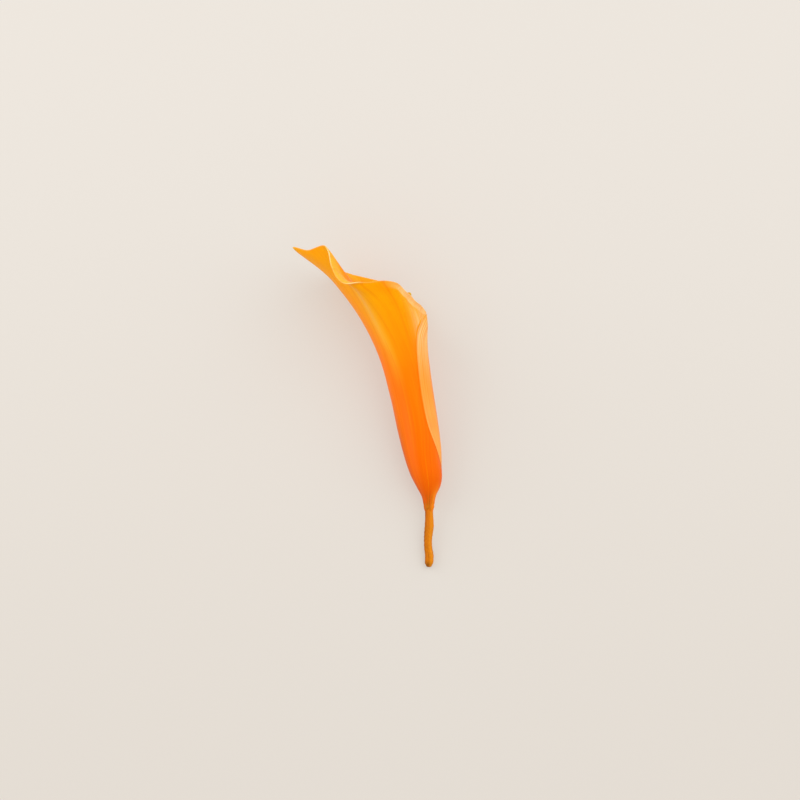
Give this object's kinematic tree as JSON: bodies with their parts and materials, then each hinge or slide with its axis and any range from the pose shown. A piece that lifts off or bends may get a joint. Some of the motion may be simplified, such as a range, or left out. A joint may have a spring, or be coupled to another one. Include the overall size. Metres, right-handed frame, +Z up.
{
  "type": "preserved calla lily bloom",
  "caption": "Trumpet-shaped calla bloom with a rolled, overlapping spathe, pointed tip and ruffled lip, round a spadix on a short cut stem, lying on its side.",
  "frame": {"origin": "centre of the bounding box at the surface the bloom lies on", "axes": "+Y from the cut end of the stem towards the mouth and tip, +Z up from the surface"},
  "size_m": [0.0569, 0.1199, 0.0399],
  "materials": {
    "stem": "dried green stem, ochre, softly ridged, matt",
    "spathe": "waxy petal, satin, amber at the rim and deep orange at the base",
    "spadix": "powdery florets, matt"
  },
  "bodies": {
    "root": {"stem": "stem", "spathe": "spathe", "spadix": "spadix"}
  },
  "joints": []
}
